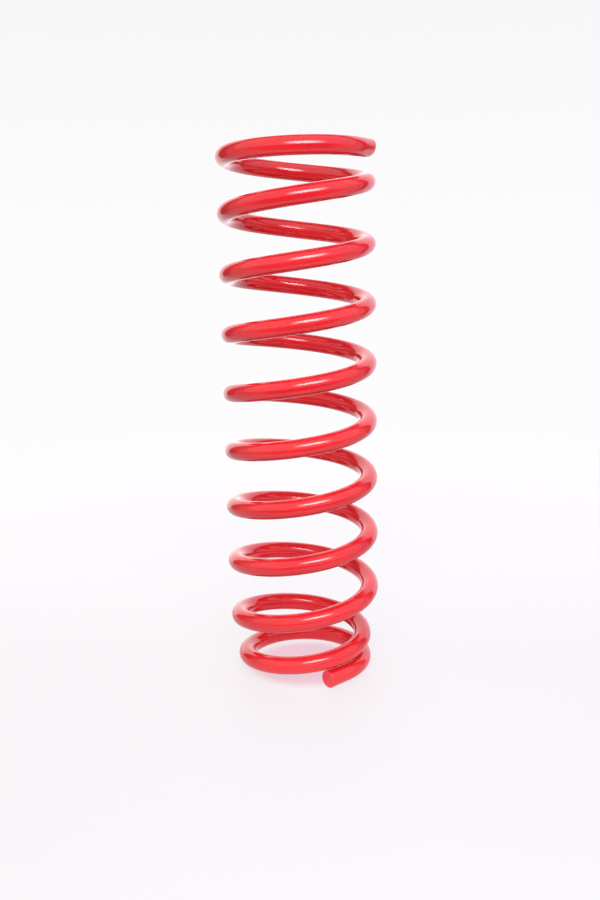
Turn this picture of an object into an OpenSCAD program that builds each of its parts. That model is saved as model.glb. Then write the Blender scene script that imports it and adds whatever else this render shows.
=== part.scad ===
// Suspension coil spring: one painted steel wire wound into an open right-hand coil.
// The lower end turn is drawn in and closed up under the second turn, the upper end flattens to meet its seat.
// A short length at each cut end stays straight, as the winding rolls leave it.
// The coil axis is Z, the lowest wire touches z = 0, and the near side is -Y. Millimetres.

/* [Wire] */
// Diameter of the round spring wire
wire_d = 13; // [8:0.5:18]
// Chamfer left by deburring round each cut end
end_chamfer = 0.7; // [0.3:0.1:1.5]

/* [Coil body] */
// Mean diameter of the working turns, wire centre to wire centre
mean_d = 99.5; // [80:0.5:150]
// Free length from the underside of the lower turn to the top of the upper turn
free_length = 387; // [300:0.5:480]
// Turns of wire from cut end to cut end
turns = 10.155; // [7:0.005:13]
// Direction in which the turns begin to count, degrees from -Y toward +X
start_angle = 19; // [0:1:359]

/* [Lower end turn] */
// Mean diameter of the drawn-in lower turn
lower_mean_d = 88; // [70:0.5:150]
// Length left straight at the lower cut end
lower_tail = 17; // [0:0.5:25]
// Height to spare where the second turn passes over the cut end
closing_gap = 0.3; // [0.3:0.1:3]
// Turns that bear on the lower seat
seat_turns = 0.58; // [0.45:0.01:0.65]
// Slight lead of the bearing turns, mm a turn
seat_lead = 4; // [0:0.5:5]
// Turn at which the closing lead is reached
closing_turn = 0.67; // [0.66:0.01:0.85]
// Turn at which the closing lead begins to open
opening_turn = 1.2; // [1:0.01:1.25]
// Turn at which the working lead is reached
working_turn = 1.73; // [1.5:0.01:2]
// Turn at which the lower diameter begins to widen
widening_turn = 1.46; // [1.1:0.01:1.5]
// Turn at which the full diameter is reached
full_turn = 1.81; // [1.7:0.01:2.4]

/* [Upper end turn] */
// Length left straight at the upper cut end
upper_tail = 13.5; // [0:0.5:25]
// Slant of the upper cut in degrees, with the top of the wire standing out further
upper_slant = 16; // [0:1:25]
// Turns over which the upper end loses its lead, counted back from the cut end
flattening_turns = 0.8; // [0.6:0.01:1.2]
// Turns that lie flat against the upper seat
flat_turns = 0.11; // [0.05:0.01:0.4]

/* [Facets] */
// Sides of the wire section
sides = 14; // [10:4:18]
// Rings of facets in one turn
rings_per_turn = 36; // [24:1:48]

/* [Hidden] */
paint_red = [0.80, 0.06, 0.07];

// Radius of the polygon that has the same area as the round wire, so volume and weight stay true
section_r = wire_d / 2 * sqrt(2 * PI / (sides * sin(360 / sides)));
// Height of the wire centre over the flat under it
seat_h = section_r * cos(180 / sides);
// Rise of the bearing turns by the time the closing lead takes over, ramp counted as half
seat_rise = seat_lead * (seat_turns + closing_turn) / 2;
// Lead, in mm a turn, that lifts the second turn just clear of the cut end
closing_lead = (wire_d + closing_gap - seat_rise) / (1 - (seat_turns + closing_turn) / 2);
// Turns that carry the closing lead and the working lead, ramps counted as half
closing_share = (working_turn - seat_turns + opening_turn - closing_turn) / 2;
working_share = turns - (flattening_turns + flat_turns + opening_turn + working_turn) / 2;
// Working lead that brings the coil to its free length
working_lead = (free_length - 2 * seat_h - seat_rise - closing_lead * closing_share) / working_share;

// Lead along the wire: turn, mm a turn
LEAD_TURN = [
    0,
    seat_turns,
    closing_turn,
    opening_turn,
    working_turn,
    turns - flattening_turns,
    turns - flat_turns,
    turns
];
LEAD = [seat_lead, seat_lead, closing_lead, closing_lead, working_lead, working_lead, 0, 0];

// Rise gathered up to turn u inside stretch i of the lead, which changes evenly along it
function stretch_rise(u, i) =
    let (
        run = max(i == 0 ? -1 : 0, min(u, LEAD_TURN[i + 1]) - LEAD_TURN[i]),
        slope = (LEAD[i + 1] - LEAD[i]) / (LEAD_TURN[i + 1] - LEAD_TURN[i])
    )
    LEAD[i] * run + slope * run * run / 2;

// Rise of the wire centre from the cut end to turn u
function rise(u, i = 0) =
    i > len(LEAD) - 2 ? 0 : stretch_rise(u, i) + rise(u, i + 1);

// Even S-shaped change from 0 to 1
function ease(t) =
    let (c = max(0, min(1, t)))
    c * c * (3 - 2 * c);

// Mean radius of the coil at turn u
function coil_r(u) =
    lower_mean_d / 2
    + (mean_d - lower_mean_d) / 2 * ease((u - widening_turn) / (full_turn - widening_turn));

// Turn up to which the wire is bent at turn u, which stays behind in the straight tails
bend_u0 = lower_tail / (PI * lower_mean_d);
bend_u1 = turns - upper_tail / (PI * mean_d);
function bent(u) = max(bend_u0, min(bend_u1, u));

// Direction from the axis to the wire at turn u, and the level direction the wire runs in
function outward(u) =
    let (a = start_angle + 360 * bent(u))
    [sin(a), -cos(a), 0];
function onward(u) =
    let (a = start_angle + 360 * bent(u))
    [cos(a), sin(a), 0];

// Wire centre at turn u
function centre(u) =
    let (straight = 2 * PI * coil_r(u) * (u - bent(u)))
    coil_r(u) * outward(u) + straight * onward(u) + [0, 0, seat_h + rise(u)];

function unit(v) = v / norm(v);

// Direction the wire runs in at turn u
function along(u) = unit(centre(u + 0.0005) - centre(u - 0.0005));

// Ring of section corners at turn u, with a flat side facing down, square to the wire or leaning by a slant
function ring(u, r, slant = 0) =
    let (
        t = along(u),
        side = unit(outward(u) - (outward(u) * t) * t),
        top = cross(side, t),
        c = centre(u)
    )
    [
        for (k = [0 : sides - 1])
        let (a = (k + 0.5) * 360 / sides - 90)
        c + r * cos(a) * side + r * sin(a) * (top + tan(slant) * t)
    ];

// Turn positions of the rings, with a chamfer ring close to each cut end
chamfer_u0 = end_chamfer / (PI * lower_mean_d);
chamfer_u1 = turns - end_chamfer / (PI * mean_d);
body_rings = round(turns * rings_per_turn);
ring_u = [
    0,
    for (k = [0 : body_rings]) chamfer_u0 + (chamfer_u1 - chamfer_u0) * k / body_rings,
    turns
];
last_ring = len(ring_u) - 1;

module coil_spring() {
    corners = [
        for (k = [0 : last_ring])
        each ring(
            ring_u[k],
            (k == 0 || k == last_ring) ? section_r - end_chamfer : section_r,
            k > last_ring - 2 ? upper_slant : 0
        )
    ];
    cut_centres = [centre(0), centre(turns)];
    first_cut = len(corners);
    wall = [
        for (k = [0 : last_ring - 1], j = [0 : sides - 1])
        let (
            a = k * sides + j,
            b = k * sides + (j + 1) % sides
        )
        each [[a, a + sides, b], [b, a + sides, b + sides]]
    ];
    lower_cut = [
        for (j = [0 : sides - 1]) [first_cut, j, (j + 1) % sides]
    ];
    upper_cut = [
        for (j = [0 : sides - 1])
        [first_cut + 1, last_ring * sides + (j + 1) % sides, last_ring * sides + j]
    ];
    color(paint_red)
        polyhedron(
            points = concat(corners, cut_centres),
            faces = concat(wall, lower_cut, upper_cut),
            convexity = 20
        );
}

coil_spring();
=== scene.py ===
import math

import bmesh
import bpy
import numpy as np
from bpy.props import FloatProperty, FloatVectorProperty, IntProperty, PointerProperty
from mathutils import Matrix, Vector


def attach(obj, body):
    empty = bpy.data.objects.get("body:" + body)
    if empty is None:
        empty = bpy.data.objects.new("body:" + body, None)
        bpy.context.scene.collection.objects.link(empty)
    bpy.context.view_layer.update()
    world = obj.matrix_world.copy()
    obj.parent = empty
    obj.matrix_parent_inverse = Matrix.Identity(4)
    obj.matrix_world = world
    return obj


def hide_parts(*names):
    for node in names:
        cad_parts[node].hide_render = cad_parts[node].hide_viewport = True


bl_info = {
    "name": "Suspension Coil Spring",
    "version": (1, 0, 0),
    "blender": (4, 5, 0),
    "location": "View3D > Sidebar > Coil Spring",
    "description": "Winds a painted suspension coil spring along its own lead and sets it on a pale studio floor",
    "category": "Object",
}

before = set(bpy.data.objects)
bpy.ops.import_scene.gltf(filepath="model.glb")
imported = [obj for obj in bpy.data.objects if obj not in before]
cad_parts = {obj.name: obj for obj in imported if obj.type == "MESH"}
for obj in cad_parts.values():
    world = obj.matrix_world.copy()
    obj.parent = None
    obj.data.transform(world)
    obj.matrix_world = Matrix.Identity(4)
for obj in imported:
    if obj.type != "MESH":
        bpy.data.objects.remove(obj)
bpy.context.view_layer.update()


# Sizes, finishes and stage settings

class CoilSizes(bpy.types.PropertyGroup):
    """Sizes of the wire and of the coil it is wound into"""

    wire_diameter: FloatProperty(
        name="Wire diameter", description="Diameter of the round spring wire",
        default=0.013, min=0.004, max=0.03, precision=4, unit="LENGTH")
    edge_round: FloatProperty(
        name="Cut edge round", description="Rounding left on the rim of each cut end under the paint",
        default=0.0007, min=0.0001, max=0.002, precision=4, unit="LENGTH")
    mean_diameter: FloatProperty(
        name="Mean diameter", description="Diameter of the working turns, wire centre to wire centre",
        default=0.0995, min=0.04, max=0.3, precision=4, unit="LENGTH")
    lower_diameter: FloatProperty(
        name="Lower mean diameter", description="Mean diameter of the drawn-in lower turn",
        default=0.088, min=0.04, max=0.3, precision=4, unit="LENGTH")
    free_length: FloatProperty(
        name="Free length", description="Length from the underside of the lower turn to the top of the upper turn",
        default=0.387, min=0.1, max=0.8, precision=4, unit="LENGTH")
    turns: FloatProperty(
        name="Turns", description="Turns of wire from cut end to cut end",
        default=10.155, min=3.0, max=20.0, precision=3)
    start_angle: FloatProperty(
        name="Start angle",
        description="Direction in which the turns begin to count, from the front toward the right",
        default=math.radians(19.0), subtype="ANGLE")
    lower_tail: FloatProperty(
        name="Lower tail", description="Length left straight at the lower cut end",
        default=0.017, min=0.0, max=0.03, precision=4, unit="LENGTH")
    upper_tail: FloatProperty(
        name="Upper tail", description="Length left straight at the upper cut end",
        default=0.0135, min=0.0, max=0.03, precision=4, unit="LENGTH")
    upper_slant: FloatProperty(
        name="Upper cut slant", description="Lean of the upper cut, with the top of the wire standing out further",
        default=math.radians(16.0), min=0.0, max=math.radians(25.0), subtype="ANGLE")
    closing_gap: FloatProperty(
        name="Closing gap", description="Height to spare where the second turn passes over the cut end",
        default=0.0003, min=0.0002, max=0.01, precision=4, unit="LENGTH")
    seat_lead: FloatProperty(
        name="Seat lead", description="Slight rise of the bearing turns, for one turn",
        default=0.004, min=0.0, max=0.01, precision=4, unit="LENGTH")
    seat_turns: FloatProperty(
        name="Seat turns", description="Turns that bear on the lower seat",
        default=0.58, min=0.2, max=0.8)
    closing_turn: FloatProperty(
        name="Closing turn", description="Turn at which the closing lead is reached",
        default=0.67, min=0.3, max=0.95)
    opening_turn: FloatProperty(
        name="Opening turn", description="Turn at which the closing lead begins to open",
        default=1.2, min=1.0, max=1.5)
    working_turn: FloatProperty(
        name="Working turn", description="Turn at which the working lead is reached",
        default=1.73, min=1.5, max=2.5)
    widening_turn: FloatProperty(
        name="Widening turn", description="Turn at which the lower diameter begins to widen",
        default=1.46, min=1.0, max=2.0)
    full_turn: FloatProperty(
        name="Full turn", description="Turn at which the full diameter is reached",
        default=1.81, min=1.5, max=3.0)
    flattening_turns: FloatProperty(
        name="Flattening turns", description="Turns over which the upper end loses its lead",
        default=0.8, min=0.3, max=2.0)
    flat_turns: FloatProperty(
        name="Flat turns", description="Turns that lie flat against the upper seat",
        default=0.11, min=0.02, max=0.5)
    rings_per_turn: IntProperty(
        name="Rings per turn", description="Rings of faces in one turn of the coil",
        default=108, min=24, max=160)
    wire_sides: IntProperty(
        name="Wire sides", description="Faces round the wire",
        default=40, min=12, max=64)


class PaintLook(bpy.types.PropertyGroup):
    """Colours and surface of the gloss paint"""

    paint_colour: FloatVectorProperty(
        name="Paint colour", description="Colour of the paint where the film is even",
        subtype="COLOR", size=3, min=0.0, max=1.0, default=(0.76, 0.021, 0.028))
    thick_colour: FloatVectorProperty(
        name="Thick film colour", description="Deeper colour where the film has gathered",
        subtype="COLOR", size=3, min=0.0, max=1.0, default=(0.66, 0.010, 0.019))
    cut_colour: FloatVectorProperty(
        name="Cut end colour", description="Duller colour of the thin film on the cut ends",
        subtype="COLOR", size=3, min=0.0, max=1.0, default=(0.84, 0.042, 0.075))
    ripple_size: FloatProperty(
        name="Ripple size", description="Width of the orange-peel ripples in the paint",
        default=0.0030, min=0.0005, max=0.02, precision=4, unit="LENGTH")
    ripple_depth: FloatProperty(
        name="Ripple depth", description="Height of the orange-peel ripples",
        default=0.00004, min=0.0, max=0.0005, precision=6, unit="LENGTH")


class StageLook(bpy.types.PropertyGroup):
    """Floor, light and camera of the studio"""

    floor_colour: FloatVectorProperty(
        name="Floor colour", description="Colour of the pale floor",
        subtype="COLOR", size=3, min=0.0, max=1.0, default=(0.16, 0.155, 0.161))
    floor_glow: FloatProperty(
        name="Floor glow", description="Light that comes up through the floor sheet",
        default=0.72, min=0.0, max=2.0)
    backdrop_level: FloatProperty(
        name="Backdrop level", description="Brightness of the white backdrop behind the spring",
        default=1.45, min=0.0, max=10.0)
    tent_level: FloatProperty(
        name="Tent level", description="Brightness of the soft white tent over the camera",
        default=1.05, min=0.0, max=10.0)
    wall_level: FloatProperty(
        name="Wall level", description="Brightness of the pale walls to the sides",
        default=0.45, min=0.0, max=10.0)
    room_level: FloatProperty(
        name="Room level", description="Brightness of the dim room behind the camera",
        default=0.18, min=0.0, max=10.0)
    strip_power: FloatProperty(
        name="Strip power", description="Power of the lamp over the camera that draws the streak along the wire",
        default=13.0, min=0.0, max=500.0, unit="POWER")
    front_power: FloatProperty(
        name="Front power", description="Power of the soft front light that shows the body colour",
        default=3.6, min=0.0, max=500.0, unit="POWER")
    camera_distance: FloatProperty(
        name="Camera distance", description="Distance of the camera in front of the coil axis",
        default=0.7223, min=0.2, max=5.0, precision=4, unit="LENGTH")
    camera_height: FloatProperty(
        name="Camera height", description="Height of the camera over the floor",
        default=0.31996, min=0.0, max=3.0, precision=4, unit="LENGTH")
    camera_tilt: FloatProperty(
        name="Camera tilt", description="How far the camera looks down",
        default=math.radians(11.862), subtype="ANGLE")
    camera_yaw: FloatProperty(
        name="Camera yaw", description="How far the camera looks to the right",
        default=math.radians(-0.061), subtype="ANGLE")
    camera_roll: FloatProperty(
        name="Camera roll", description="Turn of the camera about its own view line",
        default=math.radians(-1.171), subtype="ANGLE")
    camera_lens: FloatProperty(
        name="Camera lens", description="Focal length for a 36 mm long side, in millimetres",
        default=39.99, min=10.0, max=300.0)


# Node helpers

# Places of the colour sockets on a Mix node
MIX_FIRST, MIX_SECOND, MIX_RESULT = 6, 7, 2


class Sums:
    """Places Math nodes in one tree and hands back their results."""

    def __init__(self, tree):
        self.tree = tree

    def __call__(self, operation, *values, clamp=False):
        made = self.tree.nodes.new("ShaderNodeMath")
        made.operation = operation
        made.use_clamp = clamp
        for socket, value in zip(made.inputs, values):
            feed(self.tree, socket, value)
        return made.outputs[0]


def feed(tree, socket, value):
    """Links an output to a socket, or sets a plain value on it."""
    if isinstance(value, bpy.types.NodeSocket):
        tree.links.new(value, socket)
    else:
        socket.default_value = value


def place(tree, kind, settings=None, **inputs):
    """Adds a node, sets its own settings, and feeds inputs by their names with spaces as underscores."""
    made = tree.nodes.new(kind)
    for key, value in (settings or {}).items():
        setattr(made, key, value)
    for key, value in inputs.items():
        name = key.replace("_", " ")
        feed(tree, next(s for s in made.inputs if s.name == name and s.enabled), value)
    return made


def eased(tree, value, low, high, at_low=0.0, at_high=1.0):
    """A soft step between a low and a high value, level outside them."""
    return place(tree, "ShaderNodeMapRange", {"interpolation_type": "SMOOTHSTEP"}, Value=value,
                 From_Min=low, From_Max=high, To_Min=at_low, To_Max=at_high).outputs["Result"]


def span(tree, value, first, last):
    """A soft step from 0 at the first value to 1 at the last, which may be the lower one."""
    if first <= last:
        return eased(tree, value, first, last)
    return eased(tree, value, last, first, 1.0, 0.0)


def noise(tree, vector, scale, detail, roughness=0.5):
    """Smooth noise over a place, as a value."""
    return place(tree, "ShaderNodeTexNoise", Vector=vector, Scale=scale, Detail=detail,
                 Roughness=roughness).outputs[0]


def mixed(tree, factor, first, second):
    """A colour mix of two colours or outputs."""
    made = tree.nodes.new("ShaderNodeMix")
    made.data_type = "RGBA"
    feed(tree, made.inputs["Factor"], factor)
    for socket, value in ((made.inputs[MIX_FIRST], first), (made.inputs[MIX_SECOND], second)):
        feed(tree, socket, value if isinstance(value, bpy.types.NodeSocket) else (*value, 1.0))
    return made.outputs[MIX_RESULT]


def blended(tree, factor, first, second):
    """A blend of two shaders."""
    made = tree.nodes.new("ShaderNodeMixShader")
    for socket, value in zip(made.inputs, (factor, first, second)):
        feed(tree, socket, value)
    return made.outputs[0]


def captured(tree, geometry, *fields):
    """Keeps fields, each name, type and value, on a geometry, and hands back the geometry and the fields."""
    made = tree.nodes.new("GeometryNodeCaptureAttribute")
    for name, kind, _ in fields:
        made.capture_items.new(kind, name)
    for socket, value in zip(made.inputs, (geometry, *(value for _, _, value in fields))):
        feed(tree, socket, value)
    return made.outputs[:len(fields) + 1]


def new_tree(name, kind, inputs, outputs):
    """A node group with named sockets. Each socket is name, type, default."""
    tree = bpy.data.node_groups.new(name, kind)
    for direction, sockets in (("INPUT", inputs), ("OUTPUT", outputs)):
        for socket_name, socket_type, default in sockets:
            made = tree.interface.new_socket(socket_name, in_out=direction, socket_type=socket_type)
            if default is not None:
                made.default_value = default
    start = tree.nodes.new("NodeGroupInput")
    end = tree.nodes.new("NodeGroupOutput")
    return tree, {s.name: s for s in start.outputs}, {s.name: s for s in end.inputs}


def grouped(tree, group, **inputs):
    """Places a node group inside another tree and feeds it."""
    made = tree.nodes.new("GeometryNodeGroup" if tree.bl_idname == "GeometryNodeTree" else "ShaderNodeGroup")
    made.node_tree = group
    for key, value in inputs.items():
        feed(tree, made.inputs[key.replace("_", " ")], value)
    return made


def new_material(name):
    """A material, with its node tree and its Principled shader."""
    mat = bpy.data.materials.new(name)
    mat.use_nodes = True
    return mat, mat.node_tree, mat.node_tree.nodes["Principled BSDF"]


# Winding of the coil

WINDING_INPUTS = [
    ("Wire Diameter", "wire_diameter"), ("Edge Round", "edge_round"), ("Mean Diameter", "mean_diameter"),
    ("Lower Diameter", "lower_diameter"), ("Free Length", "free_length"), ("Turns", "turns"),
    ("Start Angle", "start_angle"), ("Lower Tail", "lower_tail"), ("Upper Tail", "upper_tail"),
    ("Upper Slant", "upper_slant"), ("Closing Gap", "closing_gap"), ("Seat Lead", "seat_lead"),
    ("Seat Turns", "seat_turns"), ("Closing Turn", "closing_turn"), ("Opening Turn", "opening_turn"),
    ("Working Turn", "working_turn"), ("Widening Turn", "widening_turn"), ("Full Turn", "full_turn"),
    ("Flattening Turns", "flattening_turns"), ("Flat Turns", "flat_turns"),
]
# Rings that round each cut rim
ROUND_RINGS = 5
# Distance from the cut, in metres, under which a face belongs to the cut face
CUT_FACE_DISTANCE = 1e-7
# Fewest faces that a wound coil can have
FEWEST_FACES = 1000


def lead_change_group():
    """Rise gained up to a turn by a lead that changes evenly between two turns and then stays."""
    tree, get, put = new_tree(
        "Lead Change", "GeometryNodeTree",
        [("Turn", "NodeSocketFloat", 0.0), ("From", "NodeSocketFloat", 0.0), ("To", "NodeSocketFloat", 1.0),
         ("Change", "NodeSocketFloat", 0.0)],
        [("Rise", "NodeSocketFloat", None)])
    m = Sums(tree)
    past_from = m("MAXIMUM", m("SUBTRACT", get["Turn"], get["From"]), 0.0)
    past_to = m("MAXIMUM", m("SUBTRACT", get["Turn"], get["To"]), 0.0)
    squares = m("SUBTRACT", m("POWER", past_from, 2.0), m("POWER", past_to, 2.0))
    slope = m("DIVIDE", get["Change"], m("SUBTRACT", get["To"], get["From"]))
    tree.links.new(m("MULTIPLY", m("MULTIPLY", slope, 0.5), squares), put["Rise"])
    return tree


def winding_tree(sizes):
    """Geometry nodes that wind a round wire into the coil, with rounded cut rims and wire coordinates."""
    inputs = [(name, "NodeSocketFloat", getattr(sizes, key)) for name, key in WINDING_INPUTS]
    inputs += [
        ("Rings per Turn", "NodeSocketInt", sizes.rings_per_turn),
        ("Wire Sides", "NodeSocketInt", sizes.wire_sides),
        ("Paint", "NodeSocketMaterial", None),
        ("Cut End Paint", "NodeSocketMaterial", None),
    ]
    tree, get, put = new_tree("Coil Winding", "GeometryNodeTree", inputs, [("Spring", "NodeSocketGeometry", None)])
    m = Sums(tree)
    wire_r = m("MULTIPLY", get["Wire Diameter"], 0.5)
    lower_girth = m("MULTIPLY", get["Lower Diameter"], math.pi)
    upper_girth = m("MULTIPLY", get["Mean Diameter"], math.pi)
    widening = m("SUBTRACT", get["Mean Diameter"], get["Lower Diameter"])

    # Leads that close the lower turn over the cut end and bring the coil to its free length
    closing_mid = m("MULTIPLY", m("ADD", get["Seat Turns"], get["Closing Turn"]), 0.5)
    seat_rise = m("MULTIPLY", get["Seat Lead"], closing_mid)
    to_clear = m("SUBTRACT", m("ADD", get["Wire Diameter"], get["Closing Gap"]), seat_rise)
    closing_lead = m("DIVIDE", to_clear, m("SUBTRACT", 1.0, closing_mid))
    working_mid = m("MULTIPLY", m("ADD", get["Opening Turn"], get["Working Turn"]), 0.5)
    closing_share = m("SUBTRACT", working_mid, closing_mid)
    ending_mid = m("MULTIPLY", m("ADD", get["Flattening Turns"], get["Flat Turns"]), 0.5)
    working_share = m("SUBTRACT", m("SUBTRACT", get["Turns"], ending_mid), working_mid)
    centre_rise = m("SUBTRACT", get["Free Length"], get["Wire Diameter"])
    to_wind = m("SUBTRACT", m("SUBTRACT", centre_rise, seat_rise), m("MULTIPLY", closing_lead, closing_share))
    working_lead = m("DIVIDE", to_wind, working_share)

    # Rings along the wire, with a few close together that round each cut rim
    count = m("ADD", m("ROUND", m("MULTIPLY", get["Turns"], get["Rings per Turn"])), 1.0)
    index = place(tree, "GeometryNodeInputIndex").outputs[0]
    last = m("SUBTRACT", count, 1.0)
    from_end = m("MINIMUM", index, m("SUBTRACT", last, index))
    swing = m("MULTIPLY", m("MINIMUM", m("DIVIDE", from_end, float(ROUND_RINGS)), 1.0), math.pi / 2)
    end_distance = m("MULTIPLY", get["Edge Round"], m("SUBTRACT", 1.0, m("COSINE", swing)))
    pinch = m("MULTIPLY", get["Edge Round"], m("SUBTRACT", 1.0, m("SINE", swing)))
    first_u = m("DIVIDE", get["Edge Round"], lower_girth)
    final_u = m("SUBTRACT", get["Turns"], m("DIVIDE", get["Edge Round"], upper_girth))
    body_index = m("SUBTRACT", index, float(ROUND_RINGS))
    body_share = m("DIVIDE", body_index, m("SUBTRACT", last, 2.0 * ROUND_RINGS), clamp=True)
    body_u = m("ADD", first_u, m("MULTIPLY", body_share, m("SUBTRACT", final_u, first_u)))
    upper_half = m("GREATER_THAN", index, m("MULTIPLY", last, 0.5))
    here_d = m("ADD", get["Lower Diameter"], m("MULTIPLY", upper_half, widening))
    overrun = m("DIVIDE", m("SUBTRACT", get["Edge Round"], end_distance), m("MULTIPLY", here_d, math.pi))
    side = m("SUBTRACT", m("MULTIPLY", upper_half, 2.0), 1.0)
    turn = m("ADD", body_u, m("MULTIPLY", overrun, side))

    # Height and diameter of the coil at that turn
    lead_change = lead_change_group()
    height = m("ADD", wire_r, m("MULTIPLY", get["Seat Lead"], turn))
    for start, stop, change in (
            (get["Seat Turns"], get["Closing Turn"], m("SUBTRACT", closing_lead, get["Seat Lead"])),
            (get["Opening Turn"], get["Working Turn"], m("SUBTRACT", working_lead, closing_lead)),
            (m("SUBTRACT", get["Turns"], get["Flattening Turns"]), m("SUBTRACT", get["Turns"], get["Flat Turns"]),
             m("MULTIPLY", working_lead, -1.0))):
        step = grouped(tree, lead_change, Turn=turn, From=start, To=stop, Change=change)
        height = m("ADD", height, step.outputs["Rise"])
    widened = eased(tree, turn, get["Widening Turn"], get["Full Turn"])
    coil_d = m("ADD", get["Lower Diameter"], m("MULTIPLY", widened, widening))
    coil_r = m("MULTIPLY", coil_d, 0.5)

    # The bend stops short of the cut ends, so each tail runs on straight
    bend_from = m("DIVIDE", get["Lower Tail"], lower_girth)
    bend_to = m("SUBTRACT", get["Turns"], m("DIVIDE", get["Upper Tail"], upper_girth))
    bent = m("MAXIMUM", bend_from, m("MINIMUM", bend_to, turn))
    straight = m("MULTIPLY", m("MULTIPLY", coil_d, math.pi), m("SUBTRACT", turn, bent))
    angle = m("ADD", get["Start Angle"], m("MULTIPLY", bent, 2 * math.pi))
    sine, cosine = m("SINE", angle), m("COSINE", angle)
    centre = place(
        tree, "ShaderNodeCombineXYZ",
        X=m("ADD", m("MULTIPLY", coil_r, sine), m("MULTIPLY", straight, cosine)),
        Y=m("SUBTRACT", m("MULTIPLY", straight, sine), m("MULTIPLY", coil_r, cosine)),
        Z=height).outputs[0]

    # Wire centre laid through those places
    line = place(tree, "GeometryNodeCurvePrimitiveLine").outputs["Curve"]
    rings = place(tree, "GeometryNodeResampleCurve", {"mode": "COUNT"}, Curve=line, Count=count).outputs["Curve"]
    rings, kept_distance, kept_turn = captured(
        tree, rings, ("End Distance", "FLOAT", end_distance), ("Turn", "FLOAT", turn))
    wound = place(tree, "GeometryNodeSetPosition", Geometry=rings, Position=centre).outputs[0]
    wire_length = place(tree, "GeometryNodeSplineParameter").outputs["Length"]
    wound, kept_length = captured(tree, wound, ("Wire Length", "FLOAT", wire_length))

    # Round section swept along the rings
    section = place(tree, "GeometryNodeCurvePrimitiveCircle", {"mode": "RADIUS"},
                    Resolution=get["Wire Sides"], Radius=wire_r).outputs["Curve"]
    here = place(tree, "GeometryNodeInputPosition").outputs[0]
    section, kept_place = captured(tree, section, ("Section Place", "VECTOR", here))
    full_section = m("DIVIDE", m("SUBTRACT", wire_r, pinch), wire_r)
    swept = place(tree, "GeometryNodeCurveToMesh", Curve=wound, Profile_Curve=section,
                  Scale=full_section, Fill_Caps=True).outputs[0]

    # The upper tail is cut at a slant, so its rings lean over toward the cut
    end_angle = m("ADD", get["Start Angle"], m("MULTIPLY", bend_to, 2 * math.pi))
    near_cut = eased(tree, kept_turn, bend_to, final_u)
    spot_z = place(tree, "ShaderNodeSeparateXYZ", Vector=here).outputs[2]
    over_centre = m("SUBTRACT", spot_z, m("SUBTRACT", get["Free Length"], wire_r))
    lean = m("MULTIPLY", m("MULTIPLY", over_centre, m("TANGENT", get["Upper Slant"])), near_cut)
    shift = place(tree, "ShaderNodeCombineXYZ", X=m("MULTIPLY", lean, m("COSINE", end_angle)),
                  Y=m("MULTIPLY", lean, m("SINE", end_angle))).outputs[0]
    slanted = place(tree, "GeometryNodeSetPosition", Geometry=swept, Offset=shift).outputs[0]
    smooth = place(tree, "GeometryNodeSetShadeSmooth", Geometry=slanted, Shade_Smooth=True).outputs[0]

    # Straightened wire coordinates and the distance from the cut ends, for the paint
    across = place(tree, "ShaderNodeSeparateXYZ", Vector=kept_place).outputs
    unrolled = place(tree, "ShaderNodeCombineXYZ", X=kept_length, Y=across[0], Z=across[1]).outputs[0]
    stored = smooth
    for name, kind, value in (("wire_place", "FLOAT_VECTOR", unrolled), ("end_distance", "FLOAT", kept_distance)):
        stored = place(tree, "GeometryNodeStoreNamedAttribute", {"data_type": kind, "domain": "POINT"},
                       Geometry=stored, Name=name, Value=value).outputs[0]
    whole = place(tree, "GeometryNodeRealizeInstances", Geometry=stored).outputs[0]
    painted = place(tree, "GeometryNodeSetMaterial", Geometry=whole, Material=get["Paint"]).outputs[0]
    is_cut = m("LESS_THAN", kept_distance, CUT_FACE_DISTANCE)
    finished = place(tree, "GeometryNodeSetMaterial", Geometry=painted, Selection=is_cut,
                     Material=get["Cut End Paint"]).outputs[0]
    tree.links.new(finished, put["Spring"])
    return tree


# Map of the unrolled wire: strips of wire, margins as a share of a strip, cut ends as a share of a row
MAP_STRIPS = 9
STRIP_END_MARGIN, STRIP_SIDE_MARGIN = 0.01, 0.04
CUT_MAP_RADIUS, CUT_MAP_SPACING = 0.44, 1.1
# Corners of a face on the wire's side, where a cut face has more
SIDE_FACE_CORNERS = 4


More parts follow.
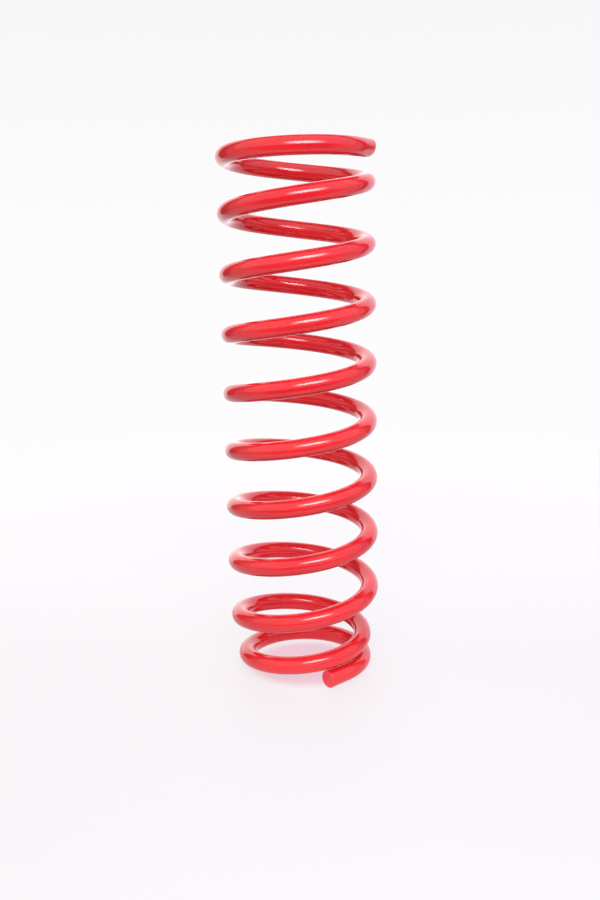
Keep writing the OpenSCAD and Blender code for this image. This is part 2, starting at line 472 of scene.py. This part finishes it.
def lay_out_map(mesh, sides):
    """Unrolls the wire into even strips, with the two cut ends in a row of their own."""
    layer = mesh.uv_layers.new(name="OFBake")
    loops = np.empty(len(mesh.loops), np.int64)
    mesh.loops.foreach_get("vertex_index", loops)
    starts = np.empty(len(mesh.polygons), np.int64)
    totals = np.empty(len(mesh.polygons), np.int64)
    mesh.polygons.foreach_get("loop_start", starts)
    mesh.polygons.foreach_get("loop_total", totals)
    rings = len(mesh.vertices) // sides
    per_strip = math.ceil((rings - 1) / MAP_STRIPS)
    row = 1.0 / (MAP_STRIPS + 1)
    face = np.repeat(np.arange(len(totals)), totals)

    # Sides of the wire
    ring, spot = loops // sides, loops % sides
    first_ring = np.minimum.reduceat(ring, starts)[face]
    wraps = (np.maximum.reduceat(spot, starts) - np.minimum.reduceat(spot, starts) > sides // 2)[face]
    far_side = np.where(wraps & (spot == 0), sides, spot)
    strip = np.minimum(first_ring // per_strip, MAP_STRIPS - 1)
    along = (ring - strip * per_strip) / per_strip
    u = STRIP_END_MARGIN + (1.0 - 2.0 * STRIP_END_MARGIN) * along
    v = row * (strip + STRIP_SIDE_MARGIN + (1.0 - 2.0 * STRIP_SIDE_MARGIN) * far_side / sides)

    # Cut ends
    cut = (totals > SIDE_FACE_CORNERS)[face]
    turn = 2 * math.pi * spot / sides
    upper = ring > rings // 2
    u = np.where(cut, row * (0.5 + CUT_MAP_SPACING * upper + CUT_MAP_RADIUS * np.cos(turn)), u)
    v = np.where(cut, 1.0 - row * (0.5 - CUT_MAP_RADIUS * np.sin(turn)), v)
    layer.uv.foreach_set("vector", np.stack([u, v], 1).astype(np.float32).ravel())


# Paint

# Ripple patterns: scale against the main ripple, and share in the height
FINE_SCALE, SWELL_SCALE, NIB_SCALE = 3.7, 0.22, 0.28
BROAD_HEIGHT, FINE_HEIGHT, SWELL_HEIGHT = 0.62, 0.12, 1.6
# Width of a dust nib against the spacing of nibs
NIB_WIDTH = 0.055
# Film patterns along the straightened wire, in repeats a metre
RUN_SCALE = (18.0, 160.0, 160.0)
CLOUD_SCALE, DULL_SCALE = 26.0, 320.0
# Share of the runs in the film, and the noise levels between which the film turns thick
RUN_SHARE = 0.55
FILM_LEVELS = (0.38, 0.66)
# Level about which the dull patches swing, and share of the clouds in the haze
DULL_LEVEL, CLOUD_HAZE = 0.45, 0.4
# Thin film at a cut rim: width in metres, how much it shows, and how much duller it is
RIM_WIDTH, RIM_SHOW, RIM_DULL = 0.00068, 0.75, 0.12
# Shear marks of a cut face: turn in radians, repeats a metre, and height beside the ripples
SHEAR_TURN, SHEAR_SCALE = (0.5, 0.0, 0.0), (1.0, 240.0, 1900.0)
SHEAR_HEIGHT, CUT_RIPPLE_HEIGHT = 1.4, 0.6
# Size of the ripples on a cut face against those on the wire
CUT_RIPPLE_SHARE = 0.6


def ripple_group():
    """Orange-peel ripples of sprayed paint, with the odd dust nib, as a height."""
    tree, get, put = new_tree(
        "Paint Ripple", "ShaderNodeTree",
        [("Place", "NodeSocketVector", None), ("Ripple Size", "NodeSocketFloat", 0.003),
         ("Nibs", "NodeSocketFloat", 0.3)],
        [("Height", "NodeSocketFloat", None)])
    m = Sums(tree)
    spot = get["Place"]
    scale = m("DIVIDE", 1.0, get["Ripple Size"])
    broad = noise(tree, spot, scale, 1.0, 0.4)
    fine = noise(tree, spot, m("MULTIPLY", scale, FINE_SCALE), 0.0)
    swell = noise(tree, spot, m("MULTIPLY", scale, SWELL_SCALE), 0.0)
    dots = place(tree, "ShaderNodeTexVoronoi", {"feature": "F1"}, Vector=spot,
                 Scale=m("MULTIPLY", scale, NIB_SCALE)).outputs["Distance"]
    nib = span(tree, dots, NIB_WIDTH, 0.0)
    ripples = m("ADD", m("MULTIPLY", broad, BROAD_HEIGHT), m("MULTIPLY", fine, FINE_HEIGHT))
    swollen = m("ADD", ripples, m("MULTIPLY", swell, SWELL_HEIGHT))
    tree.links.new(m("ADD", swollen, m("MULTIPLY", nib, get["Nibs"])), put["Height"])
    return tree


def film_group():
    """Thickness of the paint film along the straightened wire, as a mask and a roughness."""
    tree, get, put = new_tree(
        "Paint Film", "ShaderNodeTree",
        [("Wire Place", "NodeSocketVector", None), ("Gloss", "NodeSocketFloat", 0.1),
         ("Haze", "NodeSocketFloat", 0.06)],
        [("Thick", "NodeSocketFloat", None), ("Roughness", "NodeSocketFloat", None)])
    m = Sums(tree)
    wire = get["Wire Place"]
    drawn = place(tree, "ShaderNodeMapping", Vector=wire, Scale=RUN_SCALE).outputs[0]
    runs = noise(tree, drawn, 1.0, 2.0, 0.55)
    cloud = noise(tree, wire, CLOUD_SCALE, 2.0)
    both = m("ADD", m("MULTIPLY", runs, RUN_SHARE), m("MULTIPLY", cloud, 1.0 - RUN_SHARE))
    tree.links.new(span(tree, both, *FILM_LEVELS), put["Thick"])
    dull = noise(tree, wire, DULL_SCALE, 3.0, 0.7)
    patch = m("MULTIPLY", m("SUBTRACT", dull, DULL_LEVEL), get["Haze"])
    veil = m("MULTIPLY", cloud, m("MULTIPLY", get["Haze"], CLOUD_HAZE))
    tree.links.new(m("ADD", get["Gloss"], m("ADD", patch, veil), clamp=True), put["Roughness"])
    return tree


def surface_places(tree):
    """The place in the object, and the place along the straightened wire."""
    spot = place(tree, "ShaderNodeTexCoord").outputs["Object"]
    return spot, place(tree, "ShaderNodeAttribute", {"attribute_name": "wire_place"}).outputs["Vector"]


def raise_paint(tree, bsdf, look, height):
    """Raises the paint of a shader by a height."""
    bump = place(tree, "ShaderNodeBump", Strength=1.0, Distance=look.ripple_depth, Height=height)
    tree.links.new(bump.outputs["Normal"], bsdf.inputs["Normal"])


def paint_material(look, ripple, film):
    """Gloss red paint over the wound wire, thinner along the cut rims."""
    mat, tree, bsdf = new_material("gloss_red_paint")
    m = Sums(tree)
    spot, wire = surface_places(tree)
    end = place(tree, "ShaderNodeAttribute", {"attribute_name": "end_distance"}).outputs["Fac"]
    coat = grouped(tree, film, Wire_Place=wire, Gloss=0.04, Haze=0.05).outputs
    even = mixed(tree, coat["Thick"], look.paint_colour, look.thick_colour)
    rim = eased(tree, end, 0.0, RIM_WIDTH, RIM_SHOW, 0.0)
    tree.links.new(mixed(tree, rim, even, look.cut_colour), bsdf.inputs["Base Color"])
    tree.links.new(m("ADD", coat["Roughness"], m("MULTIPLY", rim, RIM_DULL)), bsdf.inputs["Roughness"])
    peel = grouped(tree, ripple, Place=spot, Ripple_Size=look.ripple_size, Nibs=0.35)
    raise_paint(tree, bsdf, look, peel.outputs["Height"])
    bsdf.inputs["IOR"].default_value = 1.52
    bsdf.inputs["Metallic"].default_value = 0.0
    return mat


def cut_end_material(look, ripple, film):
    """Thin, duller paint over the sheared face of a cut end."""
    mat, tree, bsdf = new_material("cut_end_paint")
    m = Sums(tree)
    spot, wire = surface_places(tree)
    coat = grouped(tree, film, Wire_Place=wire, Gloss=0.32, Haze=0.16).outputs
    sheared = place(tree, "ShaderNodeMapping", Vector=wire, Rotation=SHEAR_TURN, Scale=SHEAR_SCALE).outputs[0]
    shear = noise(tree, sheared, 1.0, 2.0, 0.6)
    tone = m("MULTIPLY", m("ADD", coat["Thick"], shear), 0.5)
    tree.links.new(mixed(tree, tone, look.cut_colour, look.thick_colour), bsdf.inputs["Base Color"])
    tree.links.new(coat["Roughness"], bsdf.inputs["Roughness"])
    peel = grouped(tree, ripple, Place=spot, Ripple_Size=look.ripple_size * CUT_RIPPLE_SHARE, Nibs=0.2)
    ripples = m("MULTIPLY", peel.outputs["Height"], CUT_RIPPLE_HEIGHT)
    raise_paint(tree, bsdf, look, m("ADD", ripples, m("MULTIPLY", shear, SHEAR_HEIGHT)))
    bsdf.inputs["IOR"].default_value = 1.5
    bsdf.inputs["Metallic"].default_value = 0.0
    return mat


# Stage

# Floor: distances from the coil axis, or behind it, in metres, as where a change starts and where it is full
FLOOR_RADIUS, FLOOR_SIDES = 1.2, 96
FLOOR_FADE = (0.25, 1.15)
HELD_BACK = (0.10, 0.24)
# Painted shadow and red bounce light on the floor inside the lower turn: reach where it is full and where it ends
RING_SHADOW_AND_BOUNCE_EDGE = (0.046, 0.033)
REAR_RISE, REAR_GAIN = (-0.05, 0.24), 0.07
FRONT_FALL, FRONT_GAIN = (0.0, -0.30), -0.045
FRONT_UNLIT = (-0.28, -0.33)
# Plain glow colour, and the painted pink shadow and red bounce colour inside the lower turn
GLOW_COLOUR, RING_SHADOW_AND_BOUNCE_COLOUR = (1.0, 0.98, 1.0), (0.97, 0.72, 0.81)

# Room: angles in degrees, as where a lit area starts and where it is full
BACKDROP_TURN, BACKDROP_EDGE = -6.0, (53.0, 46.0)
WALL_TOP = (50.0, 40.0)
RIGHT_WALL_EDGES = ((48.0, 80.0), (116.0, 104.0))
LEFT_WALL_EDGES = ((-40.0, -80.0), (-118.0, -106.0))
TENT_FOOT, TENT_REAR = (-1.0, 8.0), (116.0, 106.0)
SHADE_LIFT = (-4.0, 16.0)
# Right wall against the left one, right end of the backdrop against its left one, tent for matt surfaces
RIGHT_WALL_SHARE, RIGHT_END_SHARE, MATT_TENT_SHARE = 1.2, 0.92, 0.5
# Sideways directions between which the backdrop dims and the tint changes
DIM_SIDES, TINT_SIDES = (-0.6, 0.6), (-0.3, 0.6)
LEFT_TINT, RIGHT_TINT = (1.0, 0.985, 0.985), (1.0, 0.955, 1.06)
LOW_SHADE, HIGH_SHADE = (0.985, 0.978, 0.986), (0.928, 0.926, 0.932)

# Lamps: size, place and aim in metres
STRIP_LAMP = ((0.72, 0.36), (0.13, -0.55, 0.60), (0.0, 0.0, 0.2))
SOFT_LAMP = ((0.40, 0.30), (0.04, -0.58, 0.44), (0.0, 0.0, -0.15))
# Strip's fade along and across, as shares of its size from the middle: where it is dark and where it is full
STRIP_FADES = ((0.5, 0.08), (0.5, 0.12))

# Camera: long side of its sensor in millimetres, and nearest distance it sees in metres
SENSOR_SIDE, NEAREST = 36.0, 0.01


def floor_material(look):
    """Pale matt floor, lit through from below, with a painted pink shadow and red bounce light inside the lower
    turn, that fades into the white surround.
    """
    mat, tree, bsdf = new_material("pale_floor")
    bsdf.inputs["Base Color"].default_value = (*look.floor_colour, 1.0)
    bsdf.inputs["Roughness"].default_value = 0.6
    bsdf.inputs["Specular IOR Level"].default_value = 0.2
    m = Sums(tree)
    path = place(tree, "ShaderNodeLightPath").outputs
    spot = place(tree, "ShaderNodeTexCoord").outputs["Object"]
    reach = place(tree, "ShaderNodeVectorMath", {"operation": "LENGTH"}, Vector=spot).outputs["Value"]
    behind = place(tree, "ShaderNodeSeparateXYZ", Vector=spot).outputs[1]

    # The glow rises to the rear and falls to the front, and away from the coil it lights no matt surface
    rise = m("MULTIPLY", span(tree, behind, *REAR_RISE), REAR_GAIN)
    fall = m("MULTIPLY", span(tree, behind, *FRONT_FALL), FRONT_GAIN)
    glow = m("MULTIPLY", m("ADD", m("ADD", rise, fall), 1.0), look.floor_glow)
    held = m("MULTIPLY", path["Is Diffuse Ray"], span(tree, reach, *HELD_BACK))
    tree.links.new(m("MULTIPLY", m("SUBTRACT", 1.0, held), glow), bsdf.inputs["Emission Strength"])
    # Inside the lower turn the glow is painted pinker and dimmer, as the spring's shadow and the red light bounced
    # off its paint
    ring_shadow_and_bounce = span(tree, reach, *RING_SHADOW_AND_BOUNCE_EDGE)
    tree.links.new(mixed(tree, ring_shadow_and_bounce, GLOW_COLOUR, RING_SHADOW_AND_BOUNCE_COLOUR), bsdf.inputs["Emission Color"])

    # The rim fades out, and the front is clear to all but the camera
    unlit = m("MULTIPLY", span(tree, behind, *FRONT_UNLIT), m("SUBTRACT", 1.0, path["Is Camera Ray"]))
    fade = m("MAXIMUM", span(tree, reach, *FLOOR_FADE), unlit)
    clear = place(tree, "ShaderNodeBsdfTransparent").outputs[0]
    surface = blended(tree, fade, bsdf.outputs[0], clear)
    tree.links.new(surface, tree.nodes["Material Output"].inputs["Surface"])
    return mat


def studio_world(look):
    """A dim room with a white backdrop, pale side walls and a soft tent, and plain white to the eye."""
    world = bpy.data.worlds.new("studio_room")
    world.use_nodes = True
    tree = world.node_tree
    tree.nodes.clear()
    m = Sums(tree)

    def edge(angle, degrees):
        return span(tree, angle, *map(math.radians, degrees))

    # Directions, counted from the camera's side
    sky = place(tree, "ShaderNodeTexCoord").outputs["Generated"]
    x, y, z = place(tree, "ShaderNodeSeparateXYZ", Vector=sky).outputs
    front = m("MULTIPLY", y, -1.0)
    bearing, lift, over = m("ARCTAN2", x, front), m("ARCSINE", z), m("ARCTAN2", z, front)
    from_rear = m("ARCTAN2", m("MULTIPLY", x, -1.0), y)
    from_backdrop = m("ABSOLUTE", m("SUBTRACT", from_rear, math.radians(BACKDROP_TURN)))

    # Lit areas
    below = edge(lift, WALL_TOP)
    dimming = eased(tree, x, *DIM_SIDES, 1.0, RIGHT_END_SHARE)
    backdrop = m("MULTIPLY", m("MULTIPLY", edge(from_backdrop, BACKDROP_EDGE), below), look.backdrop_level)
    right_wall, left_wall = (
        m("MULTIPLY", m("MULTIPLY", edge(bearing, near), edge(bearing, far)), below)
        for near, far in (RIGHT_WALL_EDGES, LEFT_WALL_EDGES))
    walls = m("MULTIPLY", m("ADD", m("MULTIPLY", right_wall, RIGHT_WALL_SHARE), left_wall), look.wall_level)
    path = place(tree, "ShaderNodeLightPath").outputs
    held = m("MULTIPLY", path["Is Diffuse Ray"], (1.0 - MATT_TENT_SHARE) * look.tent_level)
    tent = m("MULTIPLY", m("MULTIPLY", edge(lift, TENT_FOOT), edge(over, TENT_REAR)),
             m("SUBTRACT", look.tent_level, held))
    lights = m("ADD", m("MULTIPLY", backdrop, dimming), m("MAXIMUM", tent, walls))

    # Room for the light, plain shade for the camera
    tint = mixed(tree, span(tree, x, *TINT_SIDES), LEFT_TINT, RIGHT_TINT)
    room = place(tree, "ShaderNodeBackground", Color=tint, Strength=m("ADD", lights, look.room_level)).outputs[0]
    shade = mixed(tree, edge(lift, SHADE_LIFT), LOW_SHADE, HIGH_SHADE)
    plain = place(tree, "ShaderNodeBackground", Color=shade, Strength=1.0).outputs[0]
    out = tree.nodes.new("ShaderNodeOutputWorld")
    tree.links.new(blended(tree, path["Is Camera Ray"], room, plain), out.inputs["Surface"])
    return world


def hang_lamp(scene, name, size, spot, aim, power):
    """A flat lamp, out of the camera's sight, turned to face a point."""
    flat = bpy.data.lights.new(name, "AREA")
    flat.shape = "RECTANGLE"
    flat.size, flat.size_y = size
    flat.energy = power
    lamp = bpy.data.objects.new(name, flat)
    lamp.location = spot
    lamp.rotation_euler = (Vector(aim) - lamp.location).to_track_quat("-Z", "Y").to_euler()
    lamp.visible_camera = False
    scene.collection.objects.link(lamp)
    return lamp


def soften_edges(lamp):
    """Lets the light of a flat lamp fade toward its edges, as behind a diffuser."""
    lamp.data.use_nodes = True
    tree = lamp.data.node_tree
    m = Sums(tree)
    spot = place(tree, "ShaderNodeNewGeometry").outputs["Parametric"]
    sides = place(tree, "ShaderNodeSeparateXYZ", Vector=spot).outputs
    along, across = (
        span(tree, m("ABSOLUTE", m("SUBTRACT", side, 0.5)), *fade)
        for side, fade in zip(sides, STRIP_FADES))
    tree.links.new(m("MULTIPLY", along, across), tree.nodes["Emission"].inputs["Strength"])


def aim_camera(look):
    """The camera's place and its turn by yaw, tilt and roll, as a matrix."""
    level = math.cos(look.camera_tilt)
    ahead = Vector((
        level * math.sin(look.camera_yaw),
        level * math.cos(look.camera_yaw),
        -math.sin(look.camera_tilt)))
    right = Vector((math.cos(look.camera_yaw), -math.sin(look.camera_yaw), 0.0))
    top = right.cross(ahead)
    c, s = math.cos(look.camera_roll), math.sin(look.camera_roll)
    right, top = c * right + s * top, c * top - s * right
    turned = Matrix((right, top, -ahead)).transposed().to_4x4()
    return Matrix.Translation((0.0, -look.camera_distance, look.camera_height)) @ turned


# Operators

class COIL_OT_wind_spring(bpy.types.Operator):
    """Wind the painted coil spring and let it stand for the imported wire"""

    bl_idname = "coil.wind_spring"
    bl_label = "Wind Spring"

    def execute(self, context):
        sizes, look = context.scene.coil_sizes, context.scene.coil_paint
        ripple, film = ripple_group(), film_group()
        tree = winding_tree(sizes)
        blank = bpy.data.objects.new("coil_winding", bpy.data.meshes.new("coil_winding"))
        context.scene.collection.objects.link(blank)
        modifier = blank.modifiers.new("Coil Winding", "NODES")
        modifier.node_group = tree
        values = {name: getattr(sizes, key) for name, key in WINDING_INPUTS}
        values |= {
            "Rings per Turn": sizes.rings_per_turn,
            "Wire Sides": sizes.wire_sides,
            "Paint": paint_material(look, ripple, film),
            "Cut End Paint": cut_end_material(look, ripple, film),
        }
        for item in tree.interface.items_tree:
            if item.item_type == "SOCKET" and item.in_out == "INPUT":
                modifier[item.identifier] = values[item.name]
        depsgraph = context.evaluated_depsgraph_get()
        mesh = bpy.data.meshes.new_from_object(
            blank.evaluated_get(depsgraph), preserve_all_data_layers=True, depsgraph=depsgraph)
        bpy.data.objects.remove(blank)
        mesh.name = "coil_wire"
        if len(mesh.polygons) < FEWEST_FACES:
            raise RuntimeError("the winding gave no coil")
        check = bmesh.new()
        check.from_mesh(mesh)
        volume = check.calc_volume(signed=True)
        open_edges = sum(not e.is_manifold for e in check.edges)
        check.free()
        if volume < 0:
            mesh.flip_normals()
        if open_edges:
            raise RuntimeError(f"the coil has {open_edges} open edges")
        lay_out_map(mesh, sizes.wire_sides)
        spring = bpy.data.objects.new("coil_wire", mesh)
        context.scene.collection.objects.link(spring)
        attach(spring, "root")
        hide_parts("coil_spring")
        return {"FINISHED"}


class COIL_OT_set_stage(bpy.types.Operator):
    """Lay the pale floor, light the room and set the camera"""

    bl_idname = "coil.set_stage"
    bl_label = "Set Stage"

    def execute(self, context):
        scene, look = context.scene, context.scene.coil_stage
        disc = bmesh.new()
        bmesh.ops.create_circle(disc, cap_ends=True, segments=FLOOR_SIDES, radius=FLOOR_RADIUS)
        floor_mesh = bpy.data.meshes.new("studio_floor")
        disc.to_mesh(floor_mesh)
        disc.free()
        floor_mesh.materials.append(floor_material(look))
        floor = bpy.data.objects.new("studio_floor", floor_mesh)
        scene.collection.objects.link(floor)
        scene.world = studio_world(look)

        # The strip draws only the streak, and the soft lamp lights only the body colour
        strip = hang_lamp(scene, "front_strip", *STRIP_LAMP, look.strip_power)
        strip.visible_diffuse = False
        soften_edges(strip)
        soft = hang_lamp(scene, "front_soft", *SOFT_LAMP, look.front_power)
        soft.visible_glossy = False

        eye = bpy.data.cameras.new("photo_view")
        eye.sensor_width = SENSOR_SIDE
        eye.lens = look.camera_lens
        eye.clip_start = NEAREST
        camera = bpy.data.objects.new("photo_view", eye)
        camera.matrix_world = aim_camera(look)
        scene.collection.objects.link(camera)
        scene.camera = camera
        scene.view_settings.view_transform = "Standard"
        return {"FINISHED"}


class COIL_PT_panel(bpy.types.Panel):
    """Sidebar panel with the spring's steps and sizes"""

    bl_idname = "COIL_PT_panel"
    bl_label = "Coil Spring"
    bl_space_type = "VIEW_3D"
    bl_region_type = "UI"
    bl_category = "Coil Spring"

    def draw(self, context):
        layout = self.layout
        for group in (context.scene.coil_sizes, context.scene.coil_paint, context.scene.coil_stage):
            box = layout.box()
            for key in group.__annotations__:
                box.prop(group, key)
        layout.operator(COIL_OT_wind_spring.bl_idname)
        layout.operator(COIL_OT_set_stage.bl_idname)


CLASSES = (CoilSizes, PaintLook, StageLook, COIL_OT_wind_spring, COIL_OT_set_stage, COIL_PT_panel)


def register():
    for cls in CLASSES:
        bpy.utils.register_class(cls)
    bpy.types.Scene.coil_sizes = PointerProperty(type=CoilSizes)
    bpy.types.Scene.coil_paint = PointerProperty(type=PaintLook)
    bpy.types.Scene.coil_stage = PointerProperty(type=StageLook)


def unregister():
    del bpy.types.Scene.coil_stage
    del bpy.types.Scene.coil_paint
    del bpy.types.Scene.coil_sizes
    for cls in reversed(CLASSES):
        bpy.utils.unregister_class(cls)


def main():
    register()
    bpy.ops.coil.wind_spring()
    bpy.ops.coil.set_stage()


if __name__ == "__main__":
    main()
